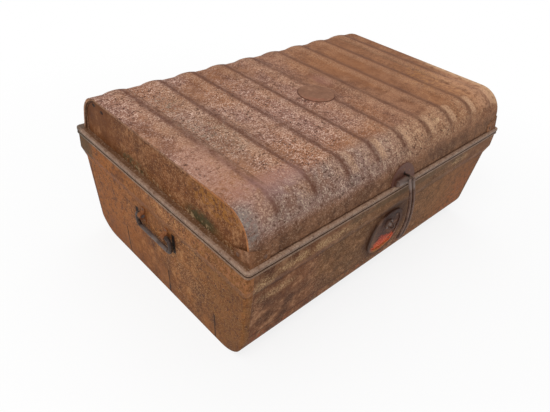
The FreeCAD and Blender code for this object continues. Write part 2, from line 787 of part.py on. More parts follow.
def hasp_link():
    """A long loop of round rod that hangs from the lug, bowed outwards over the rims."""
    half = size("link_half_width")
    top = FreeCAD.Vector(0, size("link_axis_y"), size("link_axis_z"))
    end = FreeCAD.Vector(0, size("link_axis_y - link_kick"), size("staple_z - link_overhang"))
    chord = (end - top).normalize()
    outward = FreeCAD.Vector(0, chord.z, -chord.y)
    bow = size("link_bow")
    reach = (end - top).Length / 2
    radius = (reach ** 2 + bow ** 2) / (2 * bow)
    centre = (top + end) / 2 - outward * (radius - bow)
    tilt = math.asin(reach / radius)
    end_turn = half / radius

    def on_bow(angle, across):
        ray = outward * math.cos(angle) - chord * math.sin(angle)
        return centre + ray * radius + FreeCAD.Vector(size("link_x") + across, 0, 0)

    def heading(angle):
        ray = outward * math.cos(angle) - chord * math.sin(angle)
        return ray.cross(FreeCAD.Vector(1, 0, 0)).normalize()

    first, last = tilt - end_turn, end_turn - tilt
    spans = []
    for across in (-half, half):
        spans.append(Part.Arc(on_bow(first, across), on_bow(0, across), on_bow(last, across)).toShape())
    for angle in (first, last):
        up = heading(angle)
        if (angle > 0) != (up.dot(chord) < 0):
            up = -up
        crown = on_bow(angle, 0) + up * half
        spans.append(Part.Arc(on_bow(angle, -half), crown, on_bow(angle, half)).toShape())
    path = Part.Wire(Part.__sortEdges__(spans))
    start = path.OrderedVertexes[0].Point
    edge = path.OrderedEdges[0]
    direction = edge.tangentAt(edge.getParameterByLength(0))
    section = Part.Wire(Part.makeCircle(size("link_rod_radius"), start, direction))
    link = doc.addObject("Part::Feature", "hasp_link")
    link.Shape = path.makePipeShell([section], True, True)
    keep(link, "hasp_link")


# Lock plate on the body front

def on_body_front(out, up):
    """World place (y, z) of a point given by its distance off the body's front wall and up that wall."""
    return (f"0 - floor_half_y - ({out}) * cos(wall_angle) - ({up}) * sin(wall_angle)",
            f"0 - ({out}) * sin(wall_angle) + ({up}) * cos(wall_angle)")


def stand_on_body_front(body):
    stand(body, ("fittings_offset", "0 - floor_half_y", "0"), ALONG_X, "wall_angle")


def lock_plate():
    """A round-cornered dished plate with a raised rim, a boss with a staple, and four rivets."""
    plate = keep(new_body("lock_plate"), "lock_plate")
    half_x, half_z = "lock_plate_width / 2", "lock_plate_height / 2"
    middle = ("0", "lock_middle_up")
    face = sketch_on(plate, "XZ_Plane")
    round_box(face, half_x, half_z, "lock_plate_radius", middle)
    pad(plate, face, "lock_plate_thickness")
    fillet(plate, "lock_edge_round", lambda p: same(p.y, "0 - lock_plate_thickness"))
    dish = sketch_on(plate, "XZ_Plane", "lock_plate_thickness")
    inset = "lock_plate_rim"
    round_box(dish, f"{half_x} - {inset}", f"{half_z} - {inset}", f"lock_plate_radius - {inset}", middle)
    pocket(plate, dish, "lock_plate_dish")
    stand_on_body_front(plate)

    boss = keep(new_body("lock_staple"), "lock_staple")
    base = sketch_on(boss, "XZ_Plane", "lock_seat")
    ring(base, ("lug_offset", "staple_up"), "boss_radius")
    pad(boss, base, "boss_top - lock_seat")
    fillet(boss, "boss_round", lambda p: same(p.y, "0 - boss_top"))
    bow = sketch_on(boss, "YZ_Plane", "lug_offset")
    root, straight = "0 - boss_top + boss_round", "0 - staple_straight"
    low, high = "staple_up - staple_radius", "staple_up + staple_radius"
    chain(bow, [(root, low), (straight, low), (f"{straight} - staple_radius", "staple_up"), (straight, high),
                (root, high)], {1: ("staple_radius", -1), 2: ("staple_radius", -1)}, closed=False)
    rod = sketch_on(boss, "XZ_Plane", f"0 - ({root})")
    ring(rod, ("lug_offset", low), "staple_rod_radius")
    doc.recompute()
    pipe(boss, "PartDesign::AdditivePipe", rod, bow)
    stand_on_body_front(boss)

    heads = []
    across = "(lock_plate_width / 2 - lock_plate_rim - 2 * small_rivet_radius) * cos(45 deg)"
    for side_x in (-1, 1):
        for side_z in (-1, 1):
            up = f"{middle[1]} + {side_z} * (lock_plate_height / 2 - lock_plate_rim) * cos(45 deg)"
            place = (f"fittings_offset + {side_x} * {across}",) + on_body_front("lock_seat", up)
            heads.append(rivet(place, ALONG_X, "90 deg + wall_angle",
                               "small_rivet_radius", "small_rivet_height"))
    group("lock_rivets", heads)


# Handles

def handle(end, side):
    """A bail of round rod with its ends turned inwards, hanging in two clips along the leaning wall."""
    bail = keep(new_body(f"handle_{end}"), f"handle_{end}")
    half, drop, bend = "handle_span / 2", "0 - handle_drop", "handle_bend"
    tip = f"({half} - handle_stub)"
    path = sketch_on(bail, "YZ_Plane")
    points = [(f"0 - {tip}", "0"),
              (f"0 - {half} + {bend}", "0"), (f"0 - {half}", f"0 - {bend}"),
              (f"0 - {half}", f"{drop} + {bend}"), (f"0 - {half} + {bend}", drop),
              (f"{half} - {bend}", drop), (half, f"{drop} + {bend}"),
              (half, f"0 - {bend}"), (f"{half} - {bend}", "0"),
              (tip, "0")]
    chain(path, points, {span: (bend, 1) for span in (1, 3, 5, 7)}, closed=False)
    rod = sketch_on(bail, "XZ_Plane", tip)
    ring(rod, ("0", "0"), "handle_rod_radius")
    doc.recompute()
    pipe(bail, "PartDesign::AdditivePipe", rod, path)
    stand(bail, (times(side, "handle_axis_x"), "handle_offset", "handle_pivot_height"),
          ALONG_Y, times(side, "wall_angle"))

    heads = []
    for face, edge in (("front", -1), ("rear", 1)):
        middle = f"(handle_offset + {edge} * ({tip} + clip_width / 2))"
        clip(f"handle_clip_{end}_{face}", side, middle)
        for up in (-1, 1):
            level = f"(handle_pivot_height + {up} * (clip_foot - clip_rivet_inset))"
            off = "clip_foot_thickness / cos(wall_angle)"
            place = (times(side, f"{end_wall_x(level)} + {off}"), middle, level)
            heads.append(rivet(place, ALONG_Y, times(side, "90 deg + wall_angle"),
                               "small_rivet_radius", "small_rivet_height"))
    group(f"handle_rivets_{end}", heads)


def end_wall_x(level):
    """Distance of the leaning end panel from the middle at a level."""
    return f"(floor_half_x + wall_slope * {level})"


def clip(name, side, middle):
    """A folded clip on the end panel with the bore that a handle's end turns in."""
    made = keep(new_body(name), name)
    off = "clip_foot_thickness / cos(wall_angle)"
    axis, pivot = "handle_axis_x", "handle_pivot_height"
    head, foot = f"({pivot} + clip_foot)", f"({pivot} - clip_foot)"
    above, below = f"({pivot} + clip_shoulder)", f"({pivot} - clip_shoulder)"
    points = [(end_wall_x(head), head), (f"{end_wall_x(head)} + {off}", head),
              (f"{end_wall_x(above)} + {off}", above), (axis, f"{pivot} + clip_round"),
              (f"{axis} + clip_round", pivot), (axis, f"{pivot} - clip_round"),
              (f"{end_wall_x(below)} + {off}", below), (f"{end_wall_x(foot)} + {off}", foot),
              (end_wall_x(foot), foot)]
    plan = sketch_on(made, "XZ_Plane", f"0 - {middle}")
    turned = [(times(side, across), up) for across, up in points]
    chain(plan, turned, {3: ("clip_round", -side), 4: ("clip_round", -side)})
    ring(plan, (times(side, axis), pivot), "clip_bore")
    pad(made, plan, "clip_width", middle=True)


build_body()
rim("body_rim", "body_rim_low", "body_rim_height", "body_rim_depth")
rim("lid_rim", "lid_rim_low", "lid_rim_height", "lid_rim_depth")
lid_wrap()
lid_end("lid_end_left", -1)
lid_end("lid_end_right", 1)
corner_guards()
lid_disc()
hinges()
hasp_plate()
hasp_link()
lock_plate()
handle("left", -1)
handle("right", 1)
doc.recompute()

for piece in doc.Objects:
    if "Invalid" in piece.State or "Error" in piece.State:
        raise RuntimeError(f"{piece.Label} failed: {piece.State}")
for piece in nodes:
    if piece.Shape.isNull() or not piece.Shape.isValid():
        raise RuntimeError(f"{piece.Label} has no valid shape")

os.makedirs("parts", exist_ok=True)
for piece in nodes:
    piece.Shape.exportStep(f"parts/{piece.Label}.step")
    print(piece.Label, len(piece.Shape.Solids), round(piece.Shape.Volume))
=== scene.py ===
import json
import math

import bpy
from mathutils import Matrix, Vector

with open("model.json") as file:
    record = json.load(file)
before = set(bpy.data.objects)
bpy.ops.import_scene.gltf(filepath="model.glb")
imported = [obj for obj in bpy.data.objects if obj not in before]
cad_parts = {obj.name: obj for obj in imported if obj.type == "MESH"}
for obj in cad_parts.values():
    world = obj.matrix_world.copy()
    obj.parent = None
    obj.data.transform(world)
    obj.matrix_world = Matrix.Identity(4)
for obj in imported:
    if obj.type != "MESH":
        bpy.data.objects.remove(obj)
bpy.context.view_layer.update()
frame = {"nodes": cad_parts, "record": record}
nodes = frame["nodes"]
scene = bpy.context.scene
scene.view_settings.view_transform = "Standard"


# Material expressions

SCREEN_TOP = 255
SHEET_GLOSS = 0.14
FRONT_GLOSS = 0.07
END_GLOSS = 0.11
IRON_GLOSS = 0.25
SHEET_ROUGH = 0.5
RIM_ROUGH = 0.42
IRON_ROUGH = 0.38
ROUGH_SPREAD = 0.25
RIM_METAL = 0.05
# Bumps: depth and strength
DENT_BUMP = (0.0096, 0.55)
SHEET_PITS = (0.0006, 0.8)
IRON_PITS = (0.0005, 0.6)

# Noises of dents and of rust, from wide clouds to fine grains: scale, detail, roughness and shift
DENTS = (9.0, 2.0, 0.5, 4.1)
NOISES = {
    "cloud": (5.0, 3.0, 0.55, 0.0),
    "warm": (8.0, 3.0, 0.6, 3.1),
    "blot": (36.0, 4.0, 0.62, 5.7),
    "clump": (125.0, 5.0, 0.75, 2.9),
    "grain": (420.0, 3.0, 0.75, 1.3),
    "pit": (270.0, 3.0, 0.75, 8.2),
    "flake": (150.0, 4.0, 0.7, 6.4),
}
SHIFT_SHARES = (1.0, 0.7, 1.3)
MIDDLE = 0.5


def rgb(red, green, blue):
    """A colour as it looks on screen, in 0 to 255, turned into linear light."""
    def linear(value):
        share = value / SCREEN_TOP
        return share / 12.92 if share <= 0.04045 else ((share + 0.055) / 1.055) ** 2.4
    return linear(red), linear(green), linear(blue)


class Paint:
    """A material's node tree, written as expressions of places in the row frame (metres)."""

    def __init__(self, name, seed):
        self.material = bpy.data.materials.new(name)
        self.material.use_nodes = True
        self.tree = self.material.node_tree
        self.tree.nodes.clear()
        self.shader = self.add("ShaderNodeBsdfPrincipled")
        end = self.add("ShaderNodeOutputMaterial")
        self.put(end.inputs["Surface"], self.shader.outputs["BSDF"])
        place = self.add("ShaderNodeTexCoord")
        self.place = place.outputs["Object"]
        self.x, self.y, self.z = self.split(self.place)
        self.facing_x, self.facing_y, self.facing_z = self.split(place.outputs["Normal"])
        self.noises = {}
        for kind, (scale, detail, rough, shift) in NOISES.items():
            self.noises[kind] = self.noise(scale, detail, rough, seed + shift)

    def add(self, kind):
        return self.tree.nodes.new(kind)

    def put(self, socket, value):
        """Link a socket to an expression, or set it to a number, vector or colour."""
        if isinstance(value, bpy.types.NodeSocket):
            self.tree.links.new(value, socket)
        elif socket.type == "RGBA":
            socket.default_value = (*value, 1)
        else:
            socket.default_value = value

    def split(self, vector):
        node = self.add("ShaderNodeSeparateXYZ")
        self.put(node.inputs[0], vector)
        return node.outputs

    def math(self, kind, a, b=0.0):
        node = self.add("ShaderNodeMath")
        node.operation = kind
        for socket, value in zip(node.inputs, (a, b)):
            self.put(socket, value)
        return node.outputs[0]

    def plus(self, a, b):
        return self.math("ADD", a, b)

    def minus(self, a, b):
        return self.math("SUBTRACT", a, b)

    def times(self, first, *rest):
        for value in rest:
            first = self.math("MULTIPLY", first, value)
        return first

    def most(self, first, *rest):
        for value in rest:
            first = self.math("MAXIMUM", first, value)
        return first

    def absolute(self, value):
        return self.math("ABSOLUTE", value)

    def length(self, a, b):
        return self.math("SQRT", self.plus(self.times(a, a), self.times(b, b)))

    def rise(self, value, low, high, top=1.0):
        """0 below low, top above high, smooth between; falls where low is above high."""
        node = self.add("ShaderNodeMapRange")
        node.interpolation_type = "SMOOTHSTEP"
        falls = low > high
        limits = (high, low, top, 0.0) if falls else (low, high, 0.0, top)
        self.put(node.inputs["Value"], value)
        for name, limit in zip(("From Min", "From Max", "To Min", "To Max"), limits):
            self.put(node.inputs[name], limit)
        return node.outputs["Result"]

    def near(self, value, centre, half, soft):
        """1 within half of the centre, 0 beyond half and soft."""
        return self.rise(self.absolute(self.minus(value, centre)), half + soft, half)

    def oval(self, first, second, place, soft=0.6):
        """1 in an oval with a centre and half sizes on two coordinates, fading out at its edge."""
        centre, size = place
        across = self.times(self.minus(first, centre[0]), 1 / size[0])
        along = self.times(self.minus(second, centre[1]), 1 / size[1])
        return self.rise(self.length(across, along), 1 + soft, 1 - soft)

    def noise(self, scale, detail, rough, shift, stretch=(1, 1, 1)):
        moved = self.add("ShaderNodeMapping")
        self.put(moved.inputs["Vector"], self.place)
        self.put(moved.inputs["Scale"], stretch)
        self.put(moved.inputs["Location"], tuple(shift * share for share in SHIFT_SHARES))
        node = self.add("ShaderNodeTexNoise")
        self.put(node.inputs["Vector"], moved.outputs[0])
        self.put(node.inputs["Scale"], scale)
        self.put(node.inputs["Detail"], detail)
        self.put(node.inputs["Roughness"], rough)
        return node.outputs[0]

    def off_middle(self, kind, size):
        """A noise about zero, times a size."""
        return self.times(self.minus(self.noises[kind], MIDDLE), size)

    def mix(self, share, a, b):
        node = self.add("ShaderNodeMix")
        node.data_type = "RGBA"
        self.put(node.inputs[0], share)
        self.put(node.inputs[6], a)
        self.put(node.inputs[7], b)
        return node.outputs[2]

    def layered(self, colour, *layers):
        """The colour under layers, each a tint, its share and the covers that bound it."""
        for tint, share, *covers in layers:
            colour = self.mix(self.times(share, *covers), colour, tint)
        return colour

    def bump(self, height, depth, strength, under=None):
        node = self.add("ShaderNodeBump")
        self.put(node.inputs["Height"], height)
        self.put(node.inputs["Distance"], depth)
        self.put(node.inputs["Strength"], strength)
        if under is not None:
            self.put(node.inputs["Normal"], under)
        return node.outputs[0]

    def dull(self, rough):
        """Roughness that varies with the blots."""
        return self.plus(self.times(self.noises["blot"], ROUGH_SPREAD), rough)

    def finish(self, colour, rough, normal, metal=0.0, gloss=SHEET_GLOSS):
        self.put(self.shader.inputs["Base Color"], colour)
        self.put(self.shader.inputs["Roughness"], self.dull(rough))
        self.put(self.shader.inputs["Metallic"], metal)
        self.put(self.shader.inputs["Specular IOR Level"], gloss)
        self.put(self.shader.inputs["Normal"], normal)
        return self.material


# Rust, specks and the inside, shared by the pieces

DARK = rgb(72, 46, 36)
BLACK = rgb(24, 16, 13)
LEFT_END_X = (-0.2, -0.25)
DISC_X = -0.005
DISC_Y = -0.019

# How strongly the clumps gather pits and grains, and where these begin and are full
PIT_CLUMPING = 0.6
PIT_LEVELS = (0.77, 0.68)
GRAIN_CLUMPING = 0.5
GRAIN_LEVELS = (0.77, 0.88)

INSIDE_TINTS = {
    "low": rgb(92, 68, 54),
    "high": rgb(122, 90, 68),
    "warm": rgb(110, 70, 48),
    "grain": rgb(158, 126, 100),
    "pit": rgb(62, 42, 34),
}
# A wall's facing times its place and a factor is below zero on the inside of the trunk
INSIDE_X_FACTOR = 9.0
INSIDE_Y_FACTOR = 12.0
# Where the inside begins and is full
INSIDE_WALL_LEVELS = (-0.3, -0.9)
INSIDE_FLOOR_FACING = (0.4, 0.7)
INSIDE_FLOOR_Z = (0.02, 0.012)
INSIDE_ROOF_FACING = (-0.3, -0.6)
INSIDE_ROOF_Z = (0.215, 0.225)

# Vertical runs on a wall: scale, detail, roughness, shift and stretch
RUNS = (60.0, 3.0, 0.6, 2.2, (1, 1, 0.10))
SPECK_GROUND = 0.35


def speckle(p, colour, share, light, dark):
    """Salt and pepper: dark pits and pale grains in clumps over a colour."""
    n = p.noises
    pits = p.rise(p.plus(n["pit"], p.times(n["clump"], PIT_CLUMPING)), *PIT_LEVELS)
    grains = p.rise(p.plus(n["grain"], p.times(n["clump"], GRAIN_CLUMPING)), *GRAIN_LEVELS)
    return p.layered(colour, (dark, share, pits), (light, share, grains))


def inside_share(p):
    """1 on faces that look into the trunk."""
    from_x = p.times(p.facing_x, p.x, INSIDE_X_FACTOR)
    from_y = p.times(p.facing_y, p.y, INSIDE_Y_FACTOR)
    walls = p.rise(p.plus(from_x, from_y), *INSIDE_WALL_LEVELS)
    floor = p.times(p.rise(p.facing_z, *INSIDE_FLOOR_FACING), p.rise(p.z, *INSIDE_FLOOR_Z))
    roof = p.times(p.rise(p.facing_z, *INSIDE_ROOF_FACING), p.rise(p.z, *INSIDE_ROOF_Z))
    return p.most(walls, floor, roof)


def with_inside(p, colour):
    """The colour with the dull, dark inside of the trunk."""
    n = p.noises
    tint = INSIDE_TINTS
    within = p.layered(
        tint["low"],
        (tint["high"], 1.0, p.rise(n["clump"], 0.36, 0.64)),
        (tint["warm"], 0.6, p.rise(n["warm"], 0.42, 0.66)))
    within = speckle(p, within, 0.35, tint["grain"], tint["pit"])
    return p.layered(colour, (within, 1.0, inside_share(p)))


def sheet_finish(p, colour, gloss=SHEET_GLOSS):
    """Pitted skin over a gently dented sheet, with the inside of the trunk."""
    dents = p.bump(p.noise(*DENTS), *DENT_BUMP)
    pits = p.bump(p.noises["grain"], *SHEET_PITS, dents)
    return p.finish(with_inside(p, colour), SHEET_ROUGH, pits, gloss=gloss)


def fitting_finish(p, colour, depth, strength):
    """Pitted skin of a small plate."""
    return p.finish(colour, SHEET_ROUGH, p.bump(p.noises["grain"], depth, strength))


def wall(name, seed, tint, specks, streaks=0.25):
    """Rusted paint of a flat sheet: blotches, vertical streaks, scabs and fine specks."""
    p = Paint(name, seed)
    n = p.noises
    scale, detail, rough, shift, stretch = RUNS
    runs = p.noise(scale, detail, rough, seed + shift, stretch)
    colour = p.layered(
        tint["low"],
        (tint["high"], 1.0, p.rise(n["blot"], 0.36, 0.64)),
        (tint["warm"], 0.6, p.rise(n["warm"], 0.42, 0.66)),
        (DARK, streaks, p.rise(runs, 0.50, 0.68)),
        (tint["low"], 0.3, p.rise(n["clump"], 0.50, 0.36)),
        (tint["speck"], 0.4, p.rise(n["blot"], 0.52, 0.62), p.rise(n["clump"], 0.46, 0.56)))
    share = p.plus(p.rise(n["cloud"], 0.35, 0.6, specks), specks * SPECK_GROUND)
    return p, speckle(p, colour, share, tint["speck"], DARK)


def from_disc(p):
    """Distance from the middle of the disc, seen from above."""
    return p.length(p.minus(p.x, DISC_X), p.minus(p.y, DISC_Y))


# Lid sheet

RIB_PITCH = 0.070
RIB_PHASE = 10.5
RIB_WANDER = 0.12
# Strips along a rib, as shares of the pitch: middle, half width and soft edge; the crest and shoulder
# strips are painted highlight, the shade and band strips painted shade
RIB_CREST_HIGHLIGHT = (0.40, 0.06, 0.16)
RIB_SHADE = (0.64, 0.05, 0.20)
RIB_BAND_SHADE = (0.595, 0.015, 0.085)
RIB_SHOULDER_HIGHLIGHT = (0.86, 0.06, 0.11)
# Painted shade in the crease round the disc seat: distance from the disc's middle, half width and soft
# edge
DISC_RING_SHADE = (0.0332, 0.0003, 0.0010)

# Ovals on the lid: centre and half sizes
LID_BARE = ((-0.225, -0.01), (0.055, 0.12))
LID_MOSS = (
    ((-0.236, 0.085), (0.020, 0.035)),
    ((-0.258, 0.015), (0.016, 0.03)),
    ((-0.232, -0.04), (0.03, 0.05)),
)
LID_OCHRE = ((0.245, -0.10), (0.045, 0.08))
LID_PLUM = ((0.053, 0.02), (0.014, 0.024))
LID_PINK = ((-0.298, -0.11), (0.03, 0.08))
LID_LILAC = ((-0.25, -0.168), (0.06, 0.022))
LID_BLUE = ((-0.318, 0.264), (0.012, 0.026))

# Where each zone of the lid begins and is full
LID_ZONES = {
    "left_x": (0.16, -0.12),
    "right_x": (-0.02, 0.28),
    "top_z": (0.250, 0.276),
    "front_y": (-0.158, -0.186),
    "front_z": (0.234, 0.258),
    "dust_x": (0.29, 0.12),
    "beige_x": (-0.12, 0.08),
    "roll_y": (-0.15, -0.17),
    "roll_z": (0.244, 0.280),
    "shoulder_y": (-0.166, -0.178),
    "shoulder_z": (0.262, 0.272),
    "highlight_left_x": (-0.16, -0.08),
    "highlight_right_x": (0.15, 0.28),
    "tan_x": (0.20, 0.29),
    "tan_y": (-0.05, -0.13),
    "lip_x": (0.308, 0.320),
    "lip_y": (0.0, -0.06),
    "lip_z": (0.258, 0.268),
    "blue_y": (-0.17, -0.19),
    "belt_y": (-0.1, -0.2),
    "belt_z": (0.256, 0.230),
    "foot_z": (0.2172, 0.2152),
}
LID_TINTS = {
    "low": rgb(115, 72, 49),
    "high": rgb(156, 110, 82),
    "mauve": rgb(151, 111, 99),
    "warm": rgb(152, 99, 62),
    "right": rgb(150, 99, 64),
    "bare": rgb(160, 129, 108),
    "left_grain": rgb(222, 187, 169),
    "right_grain": rgb(198, 151, 110),
    "pit": rgb(70, 41, 30),
    "moss": rgb(84, 79, 64),
    "ochre": rgb(176, 121, 66),
    "plum": rgb(126, 81, 76),
    "grey": rgb(144, 119, 111),
    "beige": rgb(162, 121, 94),
    "slate": rgb(116, 102, 96),
    "grey_grain": rgb(198, 178, 158),
    "beige_grain": rgb(214, 180, 142),
    "dust_pit": rgb(76, 54, 46),
    "crest_highlight": rgb(186, 147, 118),
    "shade": rgb(108, 69, 50),
    "band_shade": rgb(92, 55, 40),
    "shoulder_highlight": rgb(208, 168, 134),
    "tan": rgb(206, 156, 122),
    "lip": rgb(208, 168, 130),
    "pink": rgb(174, 130, 112),
    "lilac": rgb(158, 119, 114),
    "blue": rgb(116, 113, 108),
    "belt_low": rgb(96, 65, 44),
    "belt_high": rgb(124, 87, 62),
    "belt_grain": rgb(172, 135, 104),
    "belt_pit": rgb(66, 44, 36),
    "foot": rgb(52, 34, 27),
    "ring": rgb(88, 51, 38),
}


def lid_dust(p):
    """Pale, worn front of the lid, grey on the left and beige on the right."""
    n = p.noises
    tint = LID_TINTS
    beige = p.rise(p.x, *LID_ZONES["beige_x"])
    dust = p.mix(beige, tint["grey"], tint["beige"])
    dust = p.layered(dust, (tint["slate"], 0.6, p.rise(n["warm"], 0.42, 0.58), p.minus(1.0, beige)))
    grain = p.mix(beige, tint["grey_grain"], tint["beige_grain"])
    return speckle(p, dust, 0.95, grain, tint["dust_pit"])


def lid_belt(p):
    """Brown strip along the foot of the lid's front."""
    tint = LID_TINTS
    belt = p.mix(p.rise(p.noises["blot"], 0.38, 0.62), tint["belt_low"], tint["belt_high"])
    return speckle(p, belt, 0.5, tint["belt_grain"], tint["belt_pit"])


def lid_sheet():
    p = Paint("lid_rust", 1.7)
    n = p.noises
    tint = LID_TINTS
    zone = LID_ZONES
    left = p.rise(p.x, *zone["left_x"])
    bare = p.times(p.oval(p.x, p.y, LID_BARE, 0.7), p.rise(n["blot"], 0.32, 0.5))
    colour = p.layered(
        tint["low"],
        (tint["high"], 1.0, p.rise(n["blot"], 0.36, 0.64)),
        (tint["mauve"], 0.6, left, p.rise(n["cloud"], 0.4, 0.6)),
        (tint["warm"], 0.6, p.rise(n["warm"], 0.46, 0.66)),
        (tint["right"], 0.4, p.rise(p.x, *zone["right_x"])),
        (tint["bare"], 0.35, bare))
    worn = p.plus(p.rise(n["cloud"], 0.38, 0.56, 0.6), 0.35)
    share = p.most(p.times(worn, p.plus(p.times(left, 0.6), 0.4)), bare)
    grain = p.mix(left, tint["right_grain"], tint["left_grain"])
    colour = speckle(p, colour, share, grain, tint["pit"])

    tufts = p.rise(n["clump"], 0.50, 0.60)
    for place in LID_MOSS:
        colour = p.layered(colour, (tint["moss"], 0.6, p.oval(p.x, p.y, place), tufts))
    front = p.times(p.rise(p.y, *zone["front_y"]), p.rise(p.z, *zone["front_z"]))
    ragged = p.plus(p.rise(n["blot"], 0.36, 0.6, 0.5), 0.5)
    reach = p.plus(p.rise(p.x, *zone["dust_x"], 0.55), 0.25)
    colour = p.layered(
        colour,
        (tint["ochre"], 0.55, p.oval(p.x, p.y, LID_OCHRE), p.rise(n["clump"], 0.48, 0.6)),
        (tint["plum"], 0.45, p.oval(p.x, p.y, LID_PLUM)),
        (lid_dust(p), 1.0, front, ragged, reach))

    along = p.math("FRACT", p.plus(p.times(p.x, 1 / RIB_PITCH), RIB_PHASE))
    rib = p.plus(along, p.off_middle("blot", RIB_WANDER))
    top = p.times(p.rise(p.z, *zone["top_z"]), p.rise(p.facing_z, 0.3, 0.6))
    roll = p.times(p.rise(p.y, *zone["roll_y"]), p.rise(p.z, *zone["roll_z"]), 0.6)
    ridged = p.most(top, roll)
    high = p.rise(p.z, *zone["shoulder_z"])
    shoulder = p.times(p.rise(p.y, *zone["shoulder_y"]), high)
    # Share of the painted highlight on the rib shoulders, growing towards the right.
    highlight_share = p.plus(p.rise(p.x, *zone["highlight_left_x"], 0.6), p.rise(p.x, *zone["highlight_right_x"], 0.25))
    tan = p.times(p.rise(p.x, *zone["tan_x"]), p.rise(p.y, *zone["tan_y"]), high)
    lip = p.times(p.rise(p.x, *zone["lip_x"]), p.rise(p.y, *zone["lip_y"]), p.rise(p.z, *zone["lip_z"]))
    corner = p.times(p.oval(p.x, p.z, LID_BLUE), p.rise(p.y, *zone["blue_y"]))
    colour = p.layered(
        colour,
        # Painted highlight along the rib crests; the next strip is painted shade on their slopes.
        (tint["crest_highlight"], 0.4, p.near(rib, *RIB_CREST_HIGHLIGHT), ridged, p.rise(n["grain"], 0.42, 0.58)),
        (tint["shade"], 0.35, p.near(rib, *RIB_SHADE), ridged),
        # Painted shade with some dirt in a thin band on the far slope of each rib.
        (tint["band_shade"], p.plus(p.times(left, 0.2), 0.45), p.near(rib, *RIB_BAND_SHADE), ridged,
         p.rise(n["warm"], 0.26, 0.50)),
        # Painted highlight on the ribs where they bend over the front shoulder.
        (tint["shoulder_highlight"], highlight_share, p.near(rib, *RIB_SHOULDER_HIGHLIGHT), shoulder, p.rise(n["grain"], 0.36, 0.54)),
        (tint["tan"], 0.5, tan, p.rise(n["clump"], 0.36, 0.56)),
        (tint["lip"], 0.75, lip, p.rise(n["clump"], 0.34, 0.5)),
        (tint["pink"], 0.55, p.oval(p.x, p.y, LID_PINK), p.rise(n["clump"], 0.36, 0.54)),
        (tint["lilac"], 0.45, p.oval(p.x, p.y, LID_LILAC), p.rise(n["blot"], 0.34, 0.55)),
        (tint["blue"], 0.6, corner, p.rise(n["clump"], 0.4, 0.55)))

    belt = p.times(p.rise(p.z, *zone["belt_z"]), p.rise(p.y, *zone["belt_y"]))
    colour = p.layered(
        colour,
        (lid_belt(p), 0.85, belt),
        (tint["foot"], 0.75, p.rise(p.z, *zone["foot_z"]), p.rise(p.facing_z, 0.8, 0.5)),
        # Painted shade in the crease round the disc seat.
        (tint["ring"], 0.7, p.near(from_disc(p), *DISC_RING_SHADE)))
    return sheet_finish(p, colour)


# Front, floor and rear of the body

FRONT_Y = (-0.19, -0.2)
# Rubbed strips on the front wall: centre and half sizes
FRONT_SCUFFS = (
    ((-0.200, 0.184), (0.080, 0.0075)),
    ((-0.262, 0.136), (0.036, 0.008)),
    ((0.195, 0.189), (0.034, 0.006)),
    ((-0.300, 0.172), (0.020, 0.014)),
)
FAR_RUST = ((0.29, 0.05), (0.08, 0.07))
LOCK_SHADOW = ((0.004, 0.110), (0.062, 0.062))
# Strips by height or place: middle, half width and soft edge
BODY_STRIPS = {
    "green_z": (0.196, 0.005, 0.005),
    "step_shade_z": (0.1585, 0.0012, 0.0045),
    "crease_z": (0.056, 0.0008, 0.0018),
    "corner_x": (0.311, 0.0006, 0.0016),
}
BODY_ZONES = {
    "collar_z": (0.160, 0.176),
    "foot_z": (0.066, 0.044),
    "gold_x": (0.06, 0.2),
    "gold_z": (0.17, 0.15),
}
BODY_TINTS = {
    "low": rgb(87, 53, 34),
    "high": rgb(144, 98, 69),
    "warm": rgb(128, 79, 49),
    "speck": rgb(192, 151, 115),
    "olive": rgb(114, 81, 47),
    "collar": rgb(128, 94, 68),
    "green": rgb(90, 76, 58),
    "scuff": rgb(202, 169, 125),
    "crease": rgb(64, 40, 34),
    "foot": rgb(168, 79, 39),
    "gold": rgb(146, 96, 54),
    "far": rgb(170, 93, 47),
    "lock": rgb(64, 36, 22),
}


def body_sheet():
    tint = BODY_TINTS
    strip = BODY_STRIPS
    zone = BODY_ZONES
    p, colour = wall("body_rust", 3.3, tint, 0.62)
    n = p.noises
    front = p.rise(p.y, *FRONT_Y)
    scuffs = p.most(*(p.oval(p.x, p.z, place, 0.5) for place in FRONT_SCUFFS))
    scuffs = p.times(scuffs, p.rise(n["grain"], 0.46, 0.58), p.rise(n["blot"], 0.34, 0.5))
    gold = p.times(p.rise(p.x, *zone["gold_x"]), p.rise(p.z, *zone["gold_z"]))
    colour = p.layered(
        colour,
        (tint["olive"], 0.4, p.rise(n["cloud"], 0.46, 0.60)),
        (tint["collar"], 0.5, p.rise(p.z, *zone["collar_z"]), front, p.rise(n["blot"], 0.36, 0.6)),
        (tint["green"], 0.5, p.near(p.z, *strip["green_z"]), p.rise(n["cloud"], 0.45, 0.58), front),
        (tint["scuff"], 0.7, scuffs, front),
        # Painted shade along the step at the foot of the collar.
        (DARK, 0.45, p.near(p.z, *strip["step_shade_z"]), front),
        (tint["crease"], 0.6, p.near(p.z, *strip["crease_z"]), p.rise(n["blot"], 0.35, 0.5)),
        (tint["foot"], 0.6, p.rise(p.z, *zone["foot_z"]), p.rise(n["flake"], 0.52, 0.64), front),
        (tint["gold"], 0.6, gold, p.rise(n["clump"], 0.34, 0.56)),
        (tint["far"], 0.6, p.oval(p.x, p.z, FAR_RUST), p.rise(n["clump"], 0.42, 0.6)),
        (tint["lock"], 0.75, p.oval(p.x, p.z, LOCK_SHADOW, 0.22), front),
        (DARK, 0.35, p.near(p.absolute(p.x), *strip["corner_x"]), front))
    return sheet_finish(p, colour, FRONT_GLOSS)


# Ends of the body

# Slits in the left end: place across and top
SLITS = ((0.104, 0.070), (-0.0225, 0.058), (-0.145, 0.060))
SLIT_HALF = 0.0013
SLIT_SOFT = 0.0013
SLIT_FADE = 0.008
SLIT_BEND = 0.004
# The pale strip beside a slit: its way from the slit, half width, soft edge and drop of its top
BESIDE_WAY = 0.014
BESIDE_HALF = 0.013
BESIDE_SOFT = 0.004
BESIDE_DROP = (0.004, 0.01)
